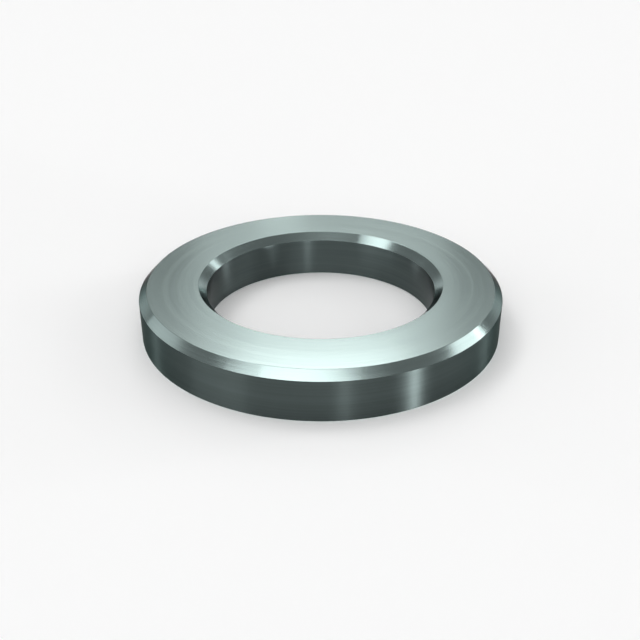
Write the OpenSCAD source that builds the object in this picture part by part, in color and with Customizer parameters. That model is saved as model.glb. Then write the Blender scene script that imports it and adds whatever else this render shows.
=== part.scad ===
// Thick chamfered washer, turned from steel in one piece.
// The rim and the bore are plain cylinders between two flat bearing faces.
// The upper face is chamfered at its outside edge and at the mouth of the bore,
// where a bolt head's fillet needs room. The lower face runs out flat to both
// walls, and its two edges are only deburred.
// The ring lies on its lower face, with its axis on Z.

/* [Ring] */
// Outside diameter of the ring, in mm
outer_d = 30; // [27:0.5:40]
// Diameter of the bore that the bolt passes through, in mm
bore_d = 19; // [13:0.5:20]
// Height of the ring from one bearing face to the other, in mm
thickness = 4; // [2.5:0.25:8]

/* [Edges] */
// Leg of the 45 degree chamfer round the outside of the upper face, in mm
outer_chamfer = 0.65; // [0.2:0.05:1.2]
// Leg of the 45 degree chamfer at the upper mouth of the bore, in mm
bore_chamfer = 0.65; // [0.2:0.05:1.2]
// Leg of the edge break left by deburring the lower face, in mm
edge_break = 0.1; // [0.05:0.05:0.3]

/* [Hidden] */
$fn = 180;
outer_r = outer_d / 2;
bore_r = bore_d / 2;
steel = [0.55, 0.62, 0.60];

// Cut through one side of the ring: x is the distance from the axis, y the height
module ring_section() {
    lower_face = [[bore_r + edge_break, 0], [outer_r - edge_break, 0]];
    rim = [[outer_r, edge_break], [outer_r, thickness - outer_chamfer]];
    upper_face = [[outer_r - outer_chamfer, thickness], [bore_r + bore_chamfer, thickness]];
    bore = [[bore_r, thickness - bore_chamfer], [bore_r, edge_break]];
    polygon(concat(lower_face, rim, upper_face, bore));
}

// The whole ring, as the section turned once round the axis
module washer() {
    color(steel) rotate_extrude() ring_section();
}

washer();
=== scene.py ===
import math

import bpy
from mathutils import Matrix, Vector


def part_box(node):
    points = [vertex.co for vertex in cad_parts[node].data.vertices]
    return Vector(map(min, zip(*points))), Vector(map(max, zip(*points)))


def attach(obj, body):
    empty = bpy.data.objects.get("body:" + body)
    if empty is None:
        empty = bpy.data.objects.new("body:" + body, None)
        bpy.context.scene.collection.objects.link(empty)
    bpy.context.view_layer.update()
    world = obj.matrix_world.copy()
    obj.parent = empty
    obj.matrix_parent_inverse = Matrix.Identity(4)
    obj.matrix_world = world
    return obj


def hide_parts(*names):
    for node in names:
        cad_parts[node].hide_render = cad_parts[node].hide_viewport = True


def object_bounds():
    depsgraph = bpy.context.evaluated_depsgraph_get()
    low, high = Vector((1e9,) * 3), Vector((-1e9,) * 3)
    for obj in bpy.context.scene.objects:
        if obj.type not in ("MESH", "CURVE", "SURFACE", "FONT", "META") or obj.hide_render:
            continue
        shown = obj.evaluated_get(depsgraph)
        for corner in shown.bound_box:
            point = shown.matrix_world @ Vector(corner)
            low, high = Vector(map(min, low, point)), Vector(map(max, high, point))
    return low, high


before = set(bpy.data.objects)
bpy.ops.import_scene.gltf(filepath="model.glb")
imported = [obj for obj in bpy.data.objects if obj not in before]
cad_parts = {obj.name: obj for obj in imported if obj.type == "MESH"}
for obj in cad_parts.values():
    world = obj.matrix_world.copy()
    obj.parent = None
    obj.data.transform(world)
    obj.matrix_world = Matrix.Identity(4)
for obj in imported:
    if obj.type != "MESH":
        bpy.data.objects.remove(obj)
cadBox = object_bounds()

mm = 0.001  # the frame is in metres
print("frame loaded:", sorted(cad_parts))


# Camera: where the photograph was taken from, as angles about the middle of the ring
shot = {
    "elevation": 27.16,         # degrees above the ring's middle
    "distance": 73.45 * mm,
    "pitch": 28.49,             # degrees that the lens looks down
    "yaw": -0.05,               # degrees that the lens looks to the right
    "focalPixels": 868,
    "imagePixels": 640,
    "sensor": 36.0,             # mm
    "clip": (1 * mm, 20),       # nearest and farthest that it sees
}


def aimAt(azimuth, elevation):
    # azimuth 0 is the camera's side of the ring, 90 its right
    a, e = math.radians(azimuth), math.radians(elevation)
    return Vector((math.sin(a) * math.cos(e), -math.cos(a) * math.cos(e), math.sin(e)))


def placeCamera():
    middle = (cadBox[0] + cadBox[1]) / 2
    data = bpy.data.cameras.new("photoCamera")
    data.sensor_width = shot["sensor"]
    data.lens = shot["focalPixels"] * shot["sensor"] / shot["imagePixels"]
    data.clip_start, data.clip_end = shot["clip"]
    camera = bpy.data.objects.new("photoCamera", data)
    camera.location = middle + aimAt(0, shot["elevation"]) * shot["distance"]
    looking = -aimAt(-shot["yaw"], shot["pitch"])
    camera.rotation_euler = looking.to_track_quat("-Z", "Y").to_euler()
    bpy.context.scene.collection.objects.link(camera)
    bpy.context.scene.camera = camera
    print("camera placed, lens", round(data.lens, 2), "mm")


# Ring: one turned piece. Its radii and heights are read from the frame
ring = {
    "node": "washer",
    "turnSteps": 360,           # facets round the ring
    "cornerRound": 0.05 * mm,   # what a cutting tool leaves on a corner
    "burrRound": 0.04 * mm,     # the same on the deburred lower corners
    "roundSteps": 4,
    "sameSpot": 0.001 * mm,     # radii or heights this close count as one
}


def readRing():
    low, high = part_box(ring["node"])
    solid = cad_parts[ring["node"]].data
    points = [(math.hypot(v.co.x, v.co.y), v.co.z) for v in solid.vertices]
    upper = [r for r, z in points if high.z - z < ring["sameSpot"]]
    lower = [r for r, z in points if z - low.z < ring["sameSpot"]]
    rim = [z for r, z in points if high.x - r < ring["sameSpot"]]
    bore = min(r for r, z in points)
    boreHeights = [z for r, z in points if r - bore < ring["sameSpot"]]
    return {
        "lowerFace": (low.z, min(lower), max(lower)),
        "rim": (high.x, min(rim), max(rim)),
        "upperFace": (high.z, min(upper), max(upper)),
        "bore": (bore, min(boreHeights), max(boreHeights)),
    }


def ringCorners(size):
    # section corners as (radius, height, round, finish of the corner, finish of the run after it)
    sharp, burr = ring["cornerRound"], ring["burrRound"]
    lowerZ, lowerIn, lowerOut = size["lowerFace"]
    upperZ, upperIn, upperOut = size["upperFace"]
    rimR, rimLow, rimHigh = size["rim"]
    boreR, boreLow, boreHigh = size["bore"]
    return [
        (lowerIn, lowerZ, burr, "chamfer", "face"),
        (lowerOut, lowerZ, burr, "chamfer", "chamfer"),
        (rimR, rimLow, burr, "rim", "rim"),
        (rimR, rimHigh, sharp, "rim", "chamfer"),
        (upperOut, upperZ, sharp, "chamfer", "face"),
        (upperIn, upperZ, sharp, "mouth", "mouth"),
        (boreR, boreHigh, sharp, "bore", "bore"),
        (boreR, boreLow, burr, "bore", "chamfer"),
    ]


def ringSection(corners):
    # each corner becomes a small arc; a point is (radius, height, normal out, normal up, finish after it)
    section = []
    for i, (r, z, roundR, cornerFinish, runFinish) in enumerate(corners):
        at = Vector((r, z))
        before = at - Vector(corners[i - 1][:2])
        after = Vector(corners[(i + 1) % len(corners)][:2]) - at
        turn = before.angle_signed(after)
        setBack = roundR * math.tan(abs(turn) / 2)
        normalIn = Vector((before.y, -before.x)).normalized()
        centre = at - before.normalized() * setBack - normalIn * roundR
        for step in range(ring["roundSteps"] + 1):
            swing = abs(turn) * step / ring["roundSteps"]
            c, s = math.cos(swing), math.sin(swing)
            n = Vector((normalIn.x * c - normalIn.y * s, normalIn.x * s + normalIn.y * c))
            p = centre + n * roundR
            finish = runFinish if step == ring["roundSteps"] else cornerFinish
            section.append((p.x, p.y, n.x, n.y, finish))
    return section


def buildRing(finishes):
    section = ringSection(ringCorners(readRing()))
    steps, count = ring["turnSteps"], len(section)
    points = []
    normals = []
    for i in range(steps):
        a = 2 * math.pi * i / steps
        for r, z, out, up, _ in section:
            points.append((r * math.cos(a), r * math.sin(a), z))
            normals.append((out * math.cos(a), out * math.sin(a), up))
    quads = []
    slots = []
    names = list(finishes)
    for i in range(steps):
        near, far = i * count, (i + 1) % steps * count
        for j, (*_, finish) in enumerate(section):
            k = (j + 1) % count
            quads.append((near + j, far + j, far + k, near + k))
            slots.append(names.index(finish))
    mesh = bpy.data.meshes.new("turnedRing")
    mesh.from_pydata(points, [], quads)
    for material in finishes.values():
        mesh.materials.append(material)
    mesh.polygons.foreach_set("material_index", slots)
    mesh.polygons.foreach_set("use_smooth", [True] * len(quads))
    layOutRing(mesh, section)
    mesh.normals_split_custom_set_from_vertices(normals)
    mesh.update()
    piece = bpy.data.objects.new("turnedRing", mesh)
    bpy.context.scene.collection.objects.link(piece)
    print("ring built:", count, "points in its section,", len(quads), "faces")
    return piece


def layOutRing(mesh, section):
    # the surface unrolled: round the ring along u, along the section up v
    run = [0.0]
    for j, here in enumerate(section):
        there = section[(j + 1) % len(section)]
        run.append(run[-1] + math.hypot(there[0] - here[0], there[1] - here[1]))
    layer = mesh.uv_layers.new(name="OFBake")
    steps, count = ring["turnSteps"], len(section)
    spots = []
    for i in range(steps):
        for j in range(count):
            u0, u1 = i / steps, (i + 1) / steps
            v0, v1 = run[j] / run[-1], run[j + 1] / run[-1]
            spots += [u0, v0, u1, v0, u1, v1, u0, v1]
    layer.data.foreach_set("uv", spots)


# Finishes: one steel. Faces and chamfers carry its colour, and the walls' darker colour is painted shade;
# the edge tints paint what is mirrored at a flat angle darker on the chamfers and rim, lighter at the
# mouth and bore.
# Colours are linear, and line sizes in mm
chamferLook = {
    "colour": (0.42, 0.525, 0.512),
    "colourSwing": 0.05,
    "roughness": 0.147,
    "roughSwing": 0.015,
    "anisotropy": 0.72,
    "edgeTint": (0.13, 0.12, 0.12),     # tint of what it mirrors at a flat angle, kept low as painted shade on the floor mirrored at the chamfers' ends
    "feedLine": 0.26,           # spacing of the tool's feed marks
    "fineLine": 0.12,
    "groove": 0.0008 * mm,      # depth of the feed marks
}
# The walls' dark colour is painted shade: the same steel, made darker on the rim and bore
wallShadeLook = {
    "colour": (0.076, 0.095, 0.093),
    "colourSwing": 0.12,
    "roughness": 0.36,
    "roughSwing": 0.03,
    "anisotropy": 1.0,
    # kept low as painted shade on the floor the rim mirrors at a flat angle
    "edgeTint": (0.36, 0.40, 0.39),
    "feedLine": 0.36,
    "fineLine": 0.14,
    "groove": 0.0024 * mm,
}
finishAndShadeLooks = {
    "face": {
        "colour": (0.425, 0.52, 0.505),
        "colourSwing": 0.05,
        "roughness": 0.18,
        "roughSwing": 0.015,
        "anisotropy": 0.25,
        "edgeTint": (0.80, 0.84, 0.83),
        "feedLine": 0.34,
        "fineLine": 0.14,
        "groove": 0.0013 * mm,
    },
    "chamfer": chamferLook,
    "mouth": {                  # chamfer at the mouth of the bore, a little darker as painted shade
        **chamferLook,
        "colour": (0.40, 0.50, 0.488),
        # raised to paint the mouth's dark ends lighter, a painted reflection
        "edgeTint": (0.6, 0.6, 0.6),
    },
    "rim": wallShadeLook,
    "bore": {
        **wallShadeLook,
        # painted shade too, a little less dark than the rim's
        "colour": (0.094, 0.118, 0.116),
        # full, to paint the bore's dim ends lighter, a painted reflection
        "edgeTint": (1.0, 1.0, 1.0),
    },
}


def addNode(tree, kind, inputs=None, **settings):
    node = tree.nodes.new(kind)
    for name, value in settings.items():
        setattr(node, name, value)
    for socket, value in (inputs or {}).items():
        if isinstance(value, bpy.types.NodeSocket):
            tree.links.new(value, node.inputs[socket])
        else:
            node.inputs[socket].default_value = value
    return node


def mathNode(tree, operation, *values):
    return addNode(tree, "ShaderNodeMath", dict(enumerate(values)), operation=operation).outputs[0]


def vectorNode(tree, operation, inputs):
    return addNode(tree, "ShaderNodeVectorMath", inputs, operation=operation).outputs


# Turning marks, the same for every finish. Sizes are in mm, and shares add up to 1
marks = {
    "feed": {"arcs": 4, "detail": 1.0, "share": 0.35},      # arcs to a turn
    "fine": {"arcs": 6, "detail": 1.0, "share": 0.25},
    "band": {"arcs": 3, "detail": 1.0, "share": 0.25},
    "bandWidth": 5,             # feed marks to a band
    "cloud": {"size": 6.0, "detail": 3.0, "share": 0.15},
    "noiseRange": (0.37, 0.63),
    "grooveFeed": 0.85,         # share of the feed marks in the groove depth
    "shineTurn": 0.25,          # turns from along the marks to across them
}


def turningPlace(tree):
    # place on the ring in mm: distance from the axis, height, and the direction round it
    coords = addNode(tree, "ShaderNodeTexCoord").outputs["Object"]
    spot = vectorNode(tree, "SCALE", {0: coords, "Scale": 1 / mm})["Vector"]
    flat = vectorNode(tree, "MULTIPLY", {0: spot, 1: (1, 1, 0)})["Vector"]
    radius = vectorNode(tree, "LENGTH", {0: flat})["Value"]
    outward = vectorNode(tree, "NORMALIZE", {0: flat})["Vector"]
    turned = addNode(tree, "ShaderNodeSeparateXYZ", {0: outward}).outputs
    height = addNode(tree, "ShaderNodeSeparateXYZ", {0: spot}).outputs["Z"]
    return {"spot": spot, "radius": radius, "height": height, "x": turned["X"], "y": turned["Y"]}


def turningLines(tree, place, spacing, kind):
    # noise drawn out into long arcs, as a tool leaves it: narrow across, a few arcs to a turn
    drift = kind["arcs"] * spacing / (2 * math.pi)
    x = mathNode(tree, "MULTIPLY", place["x"], drift)
    y = mathNode(tree, "MULTIPLY", place["y"], drift)
    spot = addNode(tree, "ShaderNodeCombineXYZ", {0: place["radius"], 1: place["height"], 2: x}).outputs[0]
    wanted = {"Vector": spot, "W": y, "Scale": 1 / spacing, "Detail": kind["detail"]}
    return addNode(tree, "ShaderNodeTexNoise", wanted, noise_dimensions="4D").outputs["Fac"]


def weighed(tree, parts):
    # sum of (socket, share) pairs
    total = None
    for socket, share in parts:
        part = mathNode(tree, "MULTIPLY", socket, share)
        total = part if total is None else mathNode(tree, "ADD", total, part)
    return total


def steelFinish(name, look):
    material = bpy.data.materials.new(name + "Steel")
    material.use_nodes = True
    tree = material.node_tree
    shader = tree.nodes["Principled BSDF"]
    place = turningPlace(tree)
    feed = turningLines(tree, place, look["feedLine"], marks["feed"])
    fine = turningLines(tree, place, look["fineLine"], marks["fine"])
    band = turningLines(tree, place, look["feedLine"] * marks["bandWidth"], marks["band"])
    cloud = addNode(tree, "ShaderNodeTexNoise", {
        "Vector": place["spot"],
        "Scale": 1 / marks["cloud"]["size"],
        "Detail": marks["cloud"]["detail"],
    }).outputs["Fac"]
    kinds = {"feed": feed, "fine": fine, "band": band, "cloud": cloud}
    worn = weighed(tree, [(socket, marks[kind]["share"]) for kind, socket in kinds.items()])
    span = {"Value": worn, "From Min": marks["noiseRange"][0], "From Max": marks["noiseRange"][1]}

    # roughness and colour follow the marks
    swing = look["roughSwing"]
    ends = {"To Min": look["roughness"] - swing, "To Max": look["roughness"] + swing}
    rough = addNode(tree, "ShaderNodeMapRange", {**span, **ends}).outputs["Result"]
    tree.links.new(rough, shader.inputs["Roughness"])
    tone = addNode(tree, "ShaderNodeMapRange", span).outputs["Result"]
    tint = addNode(tree, "ShaderNodeMix", {"Factor": tone}, data_type="RGBA")
    tint.inputs["A"].default_value = [c * (1 - look["colourSwing"]) for c in look["colour"]] + [1]
    tint.inputs["B"].default_value = [c * (1 + look["colourSwing"]) for c in look["colour"]] + [1]
    tree.links.new(tint.outputs["Result"], shader.inputs["Base Color"])

    groove = weighed(tree, [(feed, marks["grooveFeed"]), (fine, 1 - marks["grooveFeed"])])
    bump = addNode(tree, "ShaderNodeBump", {"Height": groove, "Distance": look["groove"]})
    tree.links.new(bump.outputs["Normal"], shader.inputs["Normal"])

    # shine drawn out across the turning marks
    tangent = addNode(tree, "ShaderNodeTangent", direction_type="RADIAL", axis="Z")
    tree.links.new(tangent.outputs["Tangent"], shader.inputs["Tangent"])
    shader.inputs["Anisotropic"].default_value = look["anisotropy"]
    shader.inputs["Anisotropic Rotation"].default_value = marks["shineTurn"]
    shader.inputs["Metallic"].default_value = 1.0
    shader.inputs["Specular Tint"].default_value = (*look["edgeTint"], 1)
    return material


# Floor: a plain pale table
table = {
    "radius": 1.5,
    "colour": (0.98, 0.98, 0.98),
    "roughness": 0.9,
    "gloss": 0.0,
    "steps": 128,
}


def layFloor():
    steps, radius = table["steps"], table["radius"]
    angles = [2 * math.pi * i / steps for i in range(steps)]
    points = [(radius * math.cos(a), radius * math.sin(a), 0) for a in angles]
    mesh = bpy.data.meshes.new("floor")
    mesh.from_pydata(points, [], [list(range(steps))])
    material = bpy.data.materials.new("paleFloor")
    material.use_nodes = True
    shader = material.node_tree.nodes["Principled BSDF"]
    shader.inputs["Base Color"].default_value = (*table["colour"], 1)
    shader.inputs["Roughness"].default_value = table["roughness"]
    shader.inputs["Specular IOR Level"].default_value = table["gloss"]
    mesh.materials.append(material)
    floor = bpy.data.objects.new("floor", mesh)
    floor.location.z = cadBox[0].z
    bpy.context.scene.collection.objects.link(floor)
    print("floor laid")


# Lamps: soft boxes on a dome about the ring. Spread is (across, up) in degrees
studio = {
    "domeRadius": 10.0,
    "horizon": 0.95,            # the room is pale along the floor's edge, then grey
    "horizonFade": 15,          # degrees up to where the grey begins
    "roomSide": 0.24,           # that grey low down and overhead
    "roomTop": 0.19,
    "lamps": {
        "backBox": {"azimuth": 180, "elevation": 37, "spread": (12, 10), "brightness": 2.7},
        "backLowBox": {"azimuth": 180, "elevation": 28, "spread": (17, 28), "brightness": 0.48},
        "backWideBox": {"azimuth": 180, "elevation": 33, "spread": (50, 14), "brightness": 0.28},
        "backGlint": {"azimuth": -177, "elevation": 20, "spread": (3, 2), "brightness": 1.6},
        "backUpperBox": {"azimuth": 180, "elevation": 62, "spread": (66, 24), "brightness": 0.8},
        "frontBox": {"azimuth": -10, "elevation": 50, "spread": (79, 21), "brightness": 1.8},
        "frontCoreBox": {"azimuth": -8, "elevation": 56, "spread": (46, 7), "brightness": 0.8},
        "frontFill": {"azimuth": -15, "elevation": 26, "spread": (85, 22), "brightness": 0.75},
        "rightBox": {"azimuth": 95, "elevation": 24, "spread": (38, 19), "brightness": 1.7},
        "leftBox": {"azimuth": -89, "elevation": 19, "spread": (70, 22), "brightness": 0.55},
        "upperLeftBox": {"azimuth": -106, "elevation": 60, "spread": (41, 20), "brightness": 1.9},
        "backRightBox": {"azimuth": 133, "elevation": 25.5, "spread": (40, 4), "brightness": 2},
        "topBox": {"azimuth": 180, "elevation": 80, "spread": (28, 28), "brightness": 1.1},
        "rightStreak": {"azimuth": 54.5, "elevation": 1.6, "spread": (4, 3), "brightness": 360},
        "rightStrip": {"azimuth": 50, "elevation": 5, "spread": (6, 10), "brightness": 11},
        "frontStrip": {"azimuth": 13.5, "elevation": 9, "spread": (6, 14), "brightness": 12},
        "farRightStrip": {"azimuth": 111, "elevation": 9, "spread": (6, 14), "brightness": 16},
        "leftStrip": {"azimuth": -60, "elevation": 5, "spread": (36, 10), "brightness": 4.2},
        "farLeftStrip": {"azimuth": -111, "elevation": 5, "spread": (5, 10), "brightness": 18},
    },
}


def hangLamps():
    for name, look in studio["lamps"].items():
        data = bpy.data.lights.new(name, "AREA")
        data.shape = "RECTANGLE"
        across, up = (2 * studio["domeRadius"] * math.tan(math.radians(s) / 2) for s in look["spread"])
        data.size = across
        data.size_y = up
        data.energy = math.pi * across * up * look["brightness"]    # watts for that brightness
        lamp = bpy.data.objects.new(name, data)
        toward = aimAt(look["azimuth"], look["elevation"])
        lamp.location = toward * studio["domeRadius"]
        lamp.rotation_euler = (-toward).to_track_quat("-Z", "Y").to_euler()
        lamp.visible_camera = False
        bpy.context.scene.collection.objects.link(lamp)
    print("lamps hung:", len(studio["lamps"]))


def paintRoom():
    world = bpy.data.worlds.new("room")
    world.use_nodes = True
    tree = world.node_tree
    coords = addNode(tree, "ShaderNodeTexCoord").outputs["Generated"]
    height = addNode(tree, "ShaderNodeSeparateXYZ", {0: coords}).outputs["Z"]
    grey = addNode(tree, "ShaderNodeMapRange", {
        "Value": height,
        "To Min": studio["roomSide"],
        "To Max": studio["roomTop"],
    }).outputs["Result"]
    tone = addNode(tree, "ShaderNodeMapRange", {
        "Value": height,
        "From Max": math.sin(math.radians(studio["horizonFade"])),
        "To Min": studio["horizon"],
        "To Max": grey,
    }, interpolation_type="SMOOTHSTEP").outputs["Result"]
    tree.links.new(tone, tree.nodes["Background"].inputs["Color"])
    bpy.context.scene.world = world
    print("room painted")


bpy.context.scene.view_settings.view_transform = "Standard"
placeCamera()
layFloor()
hangLamps()
paintRoom()
steels = {name: steelFinish(name, look) for name, look in finishAndShadeLooks.items()}
washer = buildRing(steels)
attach(washer, "root")
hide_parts(ring["node"])
print("ring dressed and riding on the root body")
